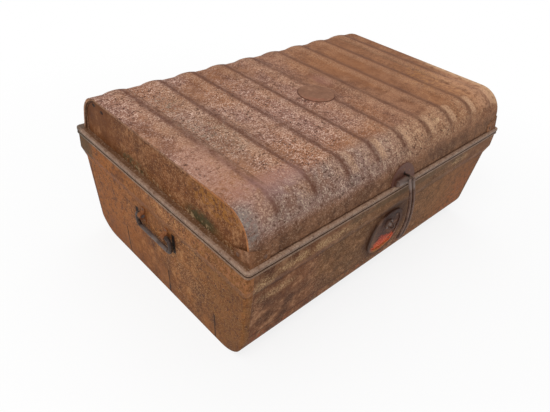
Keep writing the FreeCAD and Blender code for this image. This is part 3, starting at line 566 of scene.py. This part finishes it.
# Painted black shadow of slots beside the handle ends, where the sheet has no slots: place across, foot
# and top
SLOT_SHADOWS = ((0.0535, 0.117, 0.141), (-0.0500, 0.115, 0.152))
SLOT_HALF = 0.0034
SLOT_SOFT = 0.0016
SLOT_END_SOFT = 0.003
END_DENT = ((-0.002, 0.158), (0.058, 0.026))
END_DUST = ((-0.06, 0.088), (0.05, 0.03))
END_HOLE = ((-0.0165, 0.1385), (0.0026, 0.0016))
END_EDGE_Y = (0.205, 0.001, 0.003)
END_ZONES = {
    "rear_y": (-0.06, 0.17),
    "fore_y": (-0.05, -0.17),
    "foot_z": (0.07, 0.0),
    "collar_y": (0.06, -0.02),
    "collar_z": (0.158, 0.172),
    "green_y": (0.165, 0.195),
    "green_z": (0.160, 0.172),
    "edge_z": (0.155, 0.15),
}
END_TINTS = {
    "low": rgb(104, 59, 24),
    "high": rgb(150, 94, 51),
    "warm": rgb(146, 86, 37),
    "speck": rgb(194, 145, 96),
    "rear": rgb(152, 86, 33),
    "fore": rgb(116, 74, 35),
    "foot": rgb(104, 60, 29),
    "collar": rgb(178, 120, 81),
    "green": rgb(78, 66, 46),
    "dent": rgb(124, 76, 41),
    "edge": rgb(62, 38, 28),
    "slit": rgb(40, 22, 16),
    "beside": rgb(172, 112, 65),
    "dust": rgb(198, 152, 104),
}


def with_slits(p, colour, left):
    """Dark slits that rise from the foot of the left end, each with a pale strip beside it."""
    n = p.noises
    bent = p.plus(p.y, p.off_middle("flake", SLIT_BEND))
    for across, high in SLITS:
        slit = p.times(p.near(bent, across, SLIT_HALF, SLIT_SOFT), p.rise(p.z, high, high - SLIT_FADE))
        beside = p.near(p.y, across + BESIDE_WAY, BESIDE_HALF, BESIDE_SOFT)
        under = p.rise(p.z, *(high - drop for drop in BESIDE_DROP))
        colour = p.layered(
            colour,
            (END_TINTS["slit"], 0.95, slit, left),
            (END_TINTS["beside"], 0.25, beside, under, left, p.rise(n["blot"], 0.3, 0.6)))
    return colour


def with_slot_shadows(p, colour, left):
    """Painted black shadow of slots beside the ends of the left handle."""
    for across, low, high in SLOT_SHADOWS:
        reach = p.near(p.z, (low + high) / 2, (high - low) / 2, SLOT_END_SOFT)
        colour = p.layered(colour, (BLACK, 0.97, p.near(p.y, across, SLOT_HALF, SLOT_SOFT), reach, left))
    return colour


def end_sheet():
    tint = END_TINTS
    zone = END_ZONES
    p, colour = wall("end_rust", 6.1, tint, 0.75, 0.4)
    n = p.noises
    left = p.rise(p.x, *LEFT_END_X)
    clumps = p.rise(n["clump"], 0.36, 0.6)
    fore = p.times(p.rise(p.y, *zone["fore_y"]), p.rise(n["cloud"], 0.36, 0.55))
    collar = p.times(p.rise(p.y, *zone["collar_y"]), p.rise(p.z, *zone["collar_z"]))
    green = p.times(p.rise(p.y, *zone["green_y"]), p.rise(p.z, *zone["green_z"]))
    colour = p.layered(
        colour,
        (tint["rear"], 0.8, p.rise(p.y, *zone["rear_y"]), clumps),
        (tint["fore"], 0.8, fore, clumps),
        (tint["foot"], 0.3, p.rise(p.z, *zone["foot_z"])),
        (tint["collar"], 0.5, collar, p.rise(n["flake"], 0.46, 0.6)),
        (tint["green"], 0.75, green, left),
        (tint["dent"], 0.45, p.oval(p.y, p.z, END_DENT, 0.3), left),
        (tint["edge"], 0.6, p.near(p.y, *END_EDGE_Y), p.rise(p.z, *zone["edge_z"])))
    colour = with_slits(p, colour, left)
    colour = with_slot_shadows(p, colour, left)
    colour = p.layered(
        colour,
        (tint["dust"], 0.6, p.oval(p.y, p.z, END_DUST), p.rise(n["grain"], 0.52, 0.64), left),
        (BLACK, 0.9, p.oval(p.y, p.z, END_HOLE, 0.25), left))
    return sheet_finish(p, colour, END_GLOSS)


# Ends of the lid

LID_END_MOSS_FRONT = ((-0.115, 0.222), (0.032, 0.013))
LID_END_MOSS_REAR = ((0.06, 0.220), (0.036, 0.010))
LID_END_OCHRE = ((-0.14, 0.266), (0.05, 0.018))
LID_END_PALE_Z = (0.2175, 0.002, 0.004)
LID_END_HOLES = (
    ((0.171, 0.271), (0.0045, 0.0028)),
    ((0.146, 0.268), (0.0045, 0.0028)),
)
# Centres of the lid's round front and rear edges, and places about the hem as distances from them
ROUND_FRONT_Y = -0.1655
ROUND_REAR_Y = 0.1575
ROUND_Z = 0.238
HEM_CREASE = (0.0412, 0.0006, 0.0010)
HEM_LIP = (0.0415, 0.0425)
HEM_ORANGE = (0.0415, 0.0430)
HEM_WITHIN = (0.0415, 0.0395)
LID_END_ZONES = {
    "rear_y": (0.06, 0.16),
    "pale_y": (0.12, 0.02),
    "orange_y": (-0.07, -0.12),
}
LID_END_TINTS = {
    "low": rgb(104, 60, 28),
    "high": rgb(134, 84, 50),
    "warm": rgb(134, 80, 44),
    "speck": rgb(190, 141, 99),
    "rear": rgb(98, 52, 18),
    "moss": rgb(58, 64, 42),
    "ochre": rgb(178, 118, 48),
    "pale": rgb(196, 162, 122),
    "lip_low": rgb(122, 84, 60),
    "lip_high": rgb(154, 112, 84),
    "lip_grain": rgb(200, 160, 126),
    "orange": rgb(186, 116, 62),
    "crease": rgb(58, 34, 26),
    "within": rgb(70, 42, 26),
}


def lid_end_sheet():
    tint = LID_END_TINTS
    zone = LID_END_ZONES
    p, colour = wall("lid_end_rust", 2.6, tint, 0.48)
    n = p.noises
    left = p.rise(p.x, *LEFT_END_X)
    rear = p.times(p.rise(p.y, *zone["rear_y"]), p.rise(n["cloud"], 0.3, 0.5))
    moss = p.most(
        p.times(p.oval(p.y, p.z, LID_END_MOSS_FRONT), p.rise(n["clump"], 0.36, 0.48)),
        p.times(p.oval(p.y, p.z, LID_END_MOSS_REAR), p.rise(n["clump"], 0.46, 0.56)))
    pale = p.times(p.near(p.z, *LID_END_PALE_Z), p.rise(p.y, *zone["pale_y"]))
    past = p.most(p.minus(ROUND_FRONT_Y, p.y), p.minus(p.y, ROUND_REAR_Y), 0.0)
    high = p.most(p.minus(p.z, ROUND_Z), 0.0)
    turn = p.length(past, high)
    lip = p.mix(p.rise(n["blot"], 0.4, 0.6), tint["lip_low"], tint["lip_high"])
    lip = speckle(p, lip, 0.5, tint["lip_grain"], DARK)
    orange = p.times(p.rise(turn, *HEM_ORANGE), p.rise(p.y, *zone["orange_y"]))
    colour = p.layered(
        colour,
        (tint["rear"], 0.85, rear, p.rise(n["clump"], 0.3, 0.55)),
        (tint["moss"], 0.85, moss),
        (tint["ochre"], 0.6, p.oval(p.y, p.z, LID_END_OCHRE), p.rise(n["flake"], 0.44, 0.58)),
        (tint["pale"], 0.7, pale, p.rise(n["flake"], 0.5, 0.6)),
        (lip, 0.85, p.rise(turn, *HEM_LIP)),
        (tint["orange"], 0.6, orange, p.rise(n["clump"], 0.38, 0.52)),
        (tint["crease"], 0.8, p.near(turn, *HEM_CREASE)),
        (tint["within"], 0.12, p.rise(turn, *HEM_WITHIN)))
    for place in LID_END_HOLES:
        colour = p.layered(colour, (BLACK, 0.9, p.oval(p.y, p.z, place, 0.3), left))
    return sheet_finish(p, colour, END_GLOSS)


# Rims of body and lid

RIM_EDGE_X = (0.3295, 0.3310)
RIM_EDGE_Y = (0.2195, 0.2210)
RIM_FOLD_Z = (0.2106, 0.0003, 0.0007)
RIM_GAP_SHADE_Z = (0.2070, 0.0006, 0.0012)
RIM_ZONES = {
    "worn_z": (0.2085, 0.2100),
    "ledge_z": (0.2125, 0.2138),
    "under_top_z": (0.2062, 0.2052),
    "under_foot_z": (0.2022, 0.2034),
    "rear_y": (0.15, 0.20),
    "rear_z": (0.2075, 0.2062),
    "tail_x": (-0.31, -0.322),
    "tail_y": (0.202, 0.214),
}
RIM_TINTS = {
    "low": rgb(100, 67, 43),
    "high": rgb(130, 95, 69),
    "worn": rgb(164, 136, 118),
    "ledge": rgb(102, 65, 39),
    "grain": rgb(196, 171, 145),
    "pit": rgb(84, 55, 37),
    "fold": rgb(84, 57, 39),
    "gap_shade": rgb(50, 34, 28),
    "under": rgb(150, 121, 99),
    "rear": rgb(74, 66, 52),
    "tail": rgb(80, 66, 54),
}


def rim_bead():
    p = Paint("rim_worn", 2.2)
    n = p.noises
    tint = RIM_TINTS
    zone = RIM_ZONES
    edge = p.most(p.rise(p.absolute(p.x), *RIM_EDGE_X), p.rise(p.absolute(p.y), *RIM_EDGE_Y))
    worn = p.times(p.rise(p.z, *zone["worn_z"]), p.plus(p.times(edge, 0.65), 0.1))
    colour = p.layered(
        tint["low"],
        (tint["high"], 1.0, p.rise(n["blot"], 0.34, 0.62)),
        (tint["worn"], 0.85, worn, p.rise(n["flake"], 0.32, 0.5)),
        (tint["ledge"], 0.7, p.rise(p.z, *zone["ledge_z"]), p.minus(1.0, edge)))
    colour = speckle(p, colour, 0.4, tint["grain"], tint["pit"])
    colour = p.layered(
        colour,
        (tint["fold"], 0.55, p.near(p.z, *RIM_FOLD_Z), edge),
        # Painted shade in the gap between the lid's and the body's rims.
        (tint["gap_shade"], 0.8, p.near(p.z, *RIM_GAP_SHADE_Z)),
        (tint["under"], 0.35, p.rise(p.z, *zone["under_top_z"]), p.rise(p.z, *zone["under_foot_z"])),
        (tint["rear"], 0.7, p.rise(p.y, *zone["rear_y"]), p.rise(p.z, *zone["rear_z"])),
        (tint["tail"], 0.7, p.rise(p.y, *zone["tail_y"]), p.rise(p.x, *zone["tail_x"])))
    return p.finish(colour, RIM_ROUGH, p.bump(n["grain"], *IRON_PITS), RIM_METAL, IRON_GLOSS)


# Handles, hasp, rivets and hinges

GRIP_X = (0.329, 0.006, 0.01)
GRIP_Y = (-0.0015, 0.034, 0.006)
LUG_HOLE = ((0.0035, 0.229), (0.003, 0.003))
HASP_ZONES = {
    "plate_y": (-0.224, -0.221),
    "plate_z": (0.212, 0.216),
    "barrel_y": (-0.222, -0.226),
    "barrel_top_z": (0.232, 0.218),
    "barrel_foot_z": (0.205, 0.212),
    "hole_y": (-0.229, -0.227),
    "link_z": (0.205, 0.2),
}
IRON_TINTS = {
    "grain": rgb(150, 124, 108),
    "pit": rgb(40, 28, 24),
}
HANDLE_TINTS = {
    "low": rgb(46, 34, 30),
    "high": rgb(66, 52, 46),
    "grip_low": rgb(84, 70, 62),
    "grip_high": rgb(124, 108, 98),
    "lilac": rgb(92, 80, 92),
}
HASP_TINTS = {
    "low": rgb(76, 51, 42),
    "high": rgb(106, 79, 66),
    "plate": rgb(108, 70, 58),
    "barrel": rgb(142, 126, 118),
    "crest_highlight": rgb(130, 104, 90),
}
RIVET_TINTS = {
    "low": rgb(98, 68, 52),
    "high": rgb(128, 94, 74),
}
HINGE_TINTS = {
    "low": rgb(88, 64, 52),
    "high": rgb(118, 88, 70),
}
HANDLE_METAL = 0.2
HASP_METAL = 0.25
RIVET_METAL = 0.1
HINGE_METAL = 0.2


def iron(name, tint):
    """Dark, speckled iron."""
    p = Paint(name, 1.2)
    colour = p.mix(p.rise(p.noises["blot"], 0.34, 0.64), tint["low"], tint["high"])
    return p, speckle(p, colour, 0.4, IRON_TINTS["grain"], IRON_TINTS["pit"])


def iron_finish(p, colour, metal):
    return p.finish(colour, IRON_ROUGH, p.bump(p.noises["grain"], *IRON_PITS), metal, IRON_GLOSS)


def plain_iron(name, tint, metal):
    p, colour = iron(name, tint)
    return iron_finish(p, colour, metal)


def handle_iron():
    tint = HANDLE_TINTS
    p, colour = iron("handle_rust", tint)
    n = p.noises
    grip = p.times(p.near(p.y, *GRIP_Y), p.near(p.absolute(p.x), *GRIP_X))
    rubbed = p.layered(
        tint["grip_low"],
        (tint["grip_high"], 1.0, p.rise(n["blot"], 0.36, 0.62)),
        (tint["lilac"], 0.25, p.rise(n["cloud"], 0.42, 0.56)))
    return iron_finish(p, p.layered(colour, (rubbed, 0.9, grip)), HANDLE_METAL)


def hasp_iron():
    tint = HASP_TINTS
    zone = HASP_ZONES
    p, colour = iron("hasp_rust", tint)
    barrel = p.times(p.rise(p.z, *zone["barrel_top_z"]), p.rise(p.z, *zone["barrel_foot_z"]))
    colour = p.layered(
        colour,
        (tint["plate"], 0.75, p.rise(p.z, *zone["plate_z"]), p.rise(p.y, *zone["plate_y"])),
        (tint["barrel"], 0.7, barrel, p.rise(p.y, *zone["barrel_y"])),
        (BLACK, 0.85, p.oval(p.x, p.z, LUG_HOLE, 0.3), p.rise(p.y, *zone["hole_y"])),
        # Painted highlight on the front-facing faces of the link.
        (tint["crest_highlight"], 0.35, p.rise(p.facing_y, -0.55, -0.9), p.rise(p.z, *zone["link_z"])))
    return iron_finish(p, colour, HASP_METAL)


# Lock plate, disc, corner plates and handle clips

LOCK_PITS = (0.0006, 0.7)
DISC_PITS = (0.0004, 0.5)
CORNER_PITS = (0.0006, 0.7)
CLIP_PITS = (0.0005, 0.6)
RED_BLOT_WANDER = 0.06
RED_FLAKE_WANDER = 0.03
RED_SIDE_SHARE = 0.8
LOCK_ZONES = {
    "left_x": (-0.012, -0.026),
    "top_x": (-0.026, -0.014),
    "top_z": (0.112, 0.132),
    "shadow_x": (-0.030, -0.036),
    "shadow_z": (0.06, 0.075),
    "red_x": (-0.026, -0.012),
    "red_z": (0.094, 0.082),
    "moss_z": (0.074, 0.064),
}
DISC_EDGE_SHADE = (0.0314, 0.0324)
DISC_RED = (0.024, 0.006, 0.004)
DISC_RED_SIDE = (-0.045, -0.06)
LOCK_TINTS = {
    "low": rgb(62, 36, 26),
    "high": rgb(90, 51, 33),
    "warm": rgb(82, 46, 30),
    "speck": rgb(150, 113, 90),
    "left": rgb(118, 87, 68),
    "top": rgb(58, 34, 26),
    "crescent_shadow": rgb(48, 30, 23),
    "red_low": rgb(164, 48, 26),
    "red_high": rgb(206, 82, 46),
    "red_grain": rgb(236, 144, 98),
    "moss": rgb(136, 106, 42),
}
DISC_TINTS = {
    "low": rgb(126, 87, 66),
    "high": rgb(140, 99, 76),
    "warm": rgb(138, 95, 74),
    "speck": rgb(170, 131, 106),
    "edge_shade": rgb(92, 55, 40),
    "red": rgb(156, 89, 70),
}
CORNER_TINTS = {
    "low": rgb(110, 71, 44),
    "high": rgb(136, 91, 62),
    "warm": rgb(140, 91, 58),
    "speck": rgb(186, 145, 112),
}
CLIP_TINTS = {
    "low": rgb(112, 68, 40),
    "high": rgb(138, 88, 56),
    "warm": rgb(140, 84, 48),
    "speck": rgb(180, 132, 96),
}


def lock_sheet():
    """Dark plate with a rest of red paint on its lower part."""
    tint = LOCK_TINTS
    zone = LOCK_ZONES
    p, colour = wall("lock_rust", 4.4, tint, 0.25)
    n = p.noises
    ragged = p.plus(p.off_middle("blot", RED_BLOT_WANDER), p.off_middle("flake", RED_FLAKE_WANDER))
    low = p.rise(p.plus(p.z, ragged), *zone["red_z"])
    side = p.rise(p.plus(p.x, p.times(ragged, RED_SIDE_SHARE)), *zone["red_x"])
    red = p.layered(
        tint["red_low"],
        (tint["red_high"], 1.0, p.rise(n["blot"], 0.4, 0.58)),
        (tint["red_grain"], 1.0, p.rise(n["grain"], 0.54, 0.62)),
        (tint["moss"], 0.8, p.rise(p.z, *zone["moss_z"]), p.rise(n["blot"], 0.42, 0.54)))
    colour = p.layered(
        colour,
        (tint["left"], 0.7, p.rise(p.x, *zone["left_x"]), p.rise(n["blot"], 0.3, 0.55)),
        (tint["top"], 0.7, p.rise(p.z, *zone["top_z"]), p.rise(p.x, *zone["top_x"])),
        # Painted shadow along the plate's left rim.
        (tint["crescent_shadow"], 0.7, p.rise(p.x, *zone["shadow_x"]), p.rise(p.z, *zone["shadow_z"])),
        (red, 0.95, low, side))
    return fitting_finish(p, colour, *LOCK_PITS)


def disc_sheet():
    """Bare disc with painted shade at its edge and a reddish side."""
    tint = DISC_TINTS
    p, colour = wall("disc_rust", 8.8, tint, 0.12, 0.1)
    away = from_disc(p)
    side = p.rise(p.plus(p.x, p.y), *DISC_RED_SIDE)
    colour = p.layered(
        colour,
        # Painted shade round the disc's edge.
        (tint["edge_shade"], 0.7, p.rise(away, *DISC_EDGE_SHADE)),
        (tint["red"], 0.55, p.near(away, *DISC_RED), side, p.rise(p.noises["flake"], 0.4, 0.58)))
    return fitting_finish(p, colour, *DISC_PITS)


def plain_sheet(name, seed, tint, specks, pits):
    p, colour = wall(name, seed, tint, specks)
    return fitting_finish(p, colour, *pits)


looks = {
    "lid_sheet": lid_sheet(),
    "body_sheet": body_sheet(),
    "end_sheet": end_sheet(),
    "lid_end_sheet": lid_end_sheet(),
    "rim_bead": rim_bead(),
    "disc_sheet": disc_sheet(),
    "corner_sheet": plain_sheet("corner_rust", 7.5, CORNER_TINTS, 0.3, CORNER_PITS),
    "lock_sheet": lock_sheet(),
    "rivet_iron": plain_iron("rivet_rust", RIVET_TINTS, RIVET_METAL),
    "hinge_iron": plain_iron("hinge_rust", HINGE_TINTS, HINGE_METAL),
    "handle_iron": handle_iron(),
    "clip_sheet": plain_sheet("clip_rust", 6.1, CLIP_TINTS, 0.2, CLIP_PITS),
    "hasp_iron": hasp_iron(),
}
for part in frame["record"]["subparts"]:
    piece = nodes[part["node"]]
    piece.data.materials.clear()
    piece.data.materials.append(looks[part["material_slot"]])


# Floor, light and camera

FLOOR_HALF = 6.0
FLOOR_Z = -0.0004
FLOOR_WHITE = (0.93, 0.93, 0.93, 1)
# The floor's own glow: its share near the trunk and far away, and the distances between which it grows
GLOW_SHARES = (0.82, 1.0)
GLOW_REACH = (0.35, 1.1)
SKY_STRENGTH = 0.5
WHITE = (1, 1, 1, 1)
LAMP_TARGET = (0, 0, 0.15)
# Square lamps: name, place, side and power
LAMPS = (
    ("key_light", (-1.5, -0.6, 2.4), 1.6, 34),
    ("top_light", (0.7, 0.9, 2.6), 1.8, 16),
)
# The view of the photo: angles in degrees, lengths in metres
VIEW_AZIMUTH = -47.649
VIEW_ELEVATION = 37.141
VIEW_ROLL = 6.974
VIEW_TARGET = (0, 0, 0.12)
VIEW_DISTANCE = 0.978683
VIEW_LEFT = 0.046046
VIEW_DOWN = 0.073011
FOCAL_PIXELS = 495.761
PICTURE_PIXELS = 550
SENSOR_MM = 36


def floor_material():
    """White that takes the trunk's shadow, with a glow that hides its far edge."""
    material = bpy.data.materials.new("floor_white")
    material.use_nodes = True
    tree = material.node_tree
    tree.nodes.clear()
    add = tree.nodes.new
    link = tree.links.new
    matt = add("ShaderNodeBsdfDiffuse")
    matt.inputs["Color"].default_value = FLOOR_WHITE
    glow = add("ShaderNodeEmission")
    glow.inputs["Strength"].default_value = 1.0
    path = add("ShaderNodeLightPath")
    place = add("ShaderNodeTexCoord")
    away = add("ShaderNodeVectorMath")
    away.operation = "LENGTH"
    fade = add("ShaderNodeMapRange")
    fade.interpolation_type = "SMOOTHSTEP"
    for name, limit in zip(("From Min", "From Max", "To Min", "To Max"), GLOW_REACH + GLOW_SHARES):
        fade.inputs[name].default_value = limit
    either = add("ShaderNodeMath")
    either.operation = "MAXIMUM"
    seen = add("ShaderNodeMath")
    seen.operation = "MAXIMUM"
    share = add("ShaderNodeMath")
    share.operation = "MULTIPLY"
    blend = add("ShaderNodeMixShader")
    end = add("ShaderNodeOutputMaterial")
    link(path.outputs["Is Glossy Ray"], either.inputs[0])
    link(path.outputs["Is Transmission Ray"], either.inputs[1])
    link(path.outputs["Is Camera Ray"], seen.inputs[0])
    link(either.outputs[0], seen.inputs[1])
    link(place.outputs["Object"], away.inputs[0])
    link(away.outputs["Value"], fade.inputs["Value"])
    link(seen.outputs[0], share.inputs[0])
    link(fade.outputs["Result"], share.inputs[1])
    link(share.outputs[0], blend.inputs[0])
    link(matt.outputs[0], blend.inputs[1])
    link(glow.outputs[0], blend.inputs[2])
    link(blend.outputs[0], end.inputs["Surface"])
    return material


def stage_floor():
    turns = ((-1, -1), (1, -1), (1, 1), (-1, 1))
    corners = [(x * FLOOR_HALF, y * FLOOR_HALF, FLOOR_Z) for x, y in turns]
    mesh = bpy.data.meshes.new("floor")
    mesh.from_pydata(corners, [], [(0, 1, 2, 3)])
    mesh.materials.append(floor_material())
    floor = bpy.data.objects.new("floor", mesh)
    scene.collection.objects.link(floor)


def lamp(name, place, side, power):
    data = bpy.data.lights.new(name, "AREA")
    data.shape = "SQUARE"
    data.size = side
    data.energy = power
    made = bpy.data.objects.new(name, data)
    made.location = place
    made.rotation_euler = (Vector(LAMP_TARGET) - Vector(place)).to_track_quat("-Z", "Y").to_euler()
    scene.collection.objects.link(made)


def studio_light():
    """Soft light from all around, a white background and two lamps."""
    world = bpy.data.worlds.new("studio")
    scene.world = world
    world.use_nodes = True
    tree = world.node_tree
    tree.nodes.clear()
    path = tree.nodes.new("ShaderNodeLightPath")
    sky = tree.nodes.new("ShaderNodeBackground")
    sky.inputs["Color"].default_value = WHITE
    sky.inputs["Strength"].default_value = SKY_STRENGTH
    white = tree.nodes.new("ShaderNodeBackground")
    white.inputs["Color"].default_value = WHITE
    white.inputs["Strength"].default_value = 1.0
    blend = tree.nodes.new("ShaderNodeMixShader")
    end = tree.nodes.new("ShaderNodeOutputWorld")
    tree.links.new(path.outputs["Is Camera Ray"], blend.inputs[0])
    tree.links.new(sky.outputs[0], blend.inputs[1])
    tree.links.new(white.outputs[0], blend.inputs[2])
    tree.links.new(blend.outputs[0], end.inputs["Surface"])
    for row in LAMPS:
        lamp(*row)


def photo_camera():
    angles = (VIEW_AZIMUTH, VIEW_ELEVATION, VIEW_ROLL)
    azimuth, elevation, roll = (math.radians(angle) for angle in angles)
    back = Vector((math.sin(azimuth) * math.cos(elevation), -math.cos(azimuth) * math.cos(elevation),
                   math.sin(elevation)))
    level = Vector((0, 0, 1)).cross(back).normalized()
    above = back.cross(level)
    right = level * math.cos(roll) + above * math.sin(roll)
    up = above * math.cos(roll) - level * math.sin(roll)
    data = bpy.data.cameras.new("camera")
    data.sensor_width = SENSOR_MM
    data.lens = FOCAL_PIXELS * SENSOR_MM / PICTURE_PIXELS
    camera = bpy.data.objects.new("camera", data)
    eye = Vector(VIEW_TARGET) + back * VIEW_DISTANCE - right * VIEW_LEFT - up * VIEW_DOWN
    turn = Matrix((right, up, back)).transposed().to_4x4()
    camera.matrix_world = Matrix.Translation(eye) @ turn
    scene.collection.objects.link(camera)
    scene.camera = camera


stage_floor()
studio_light()
photo_camera()
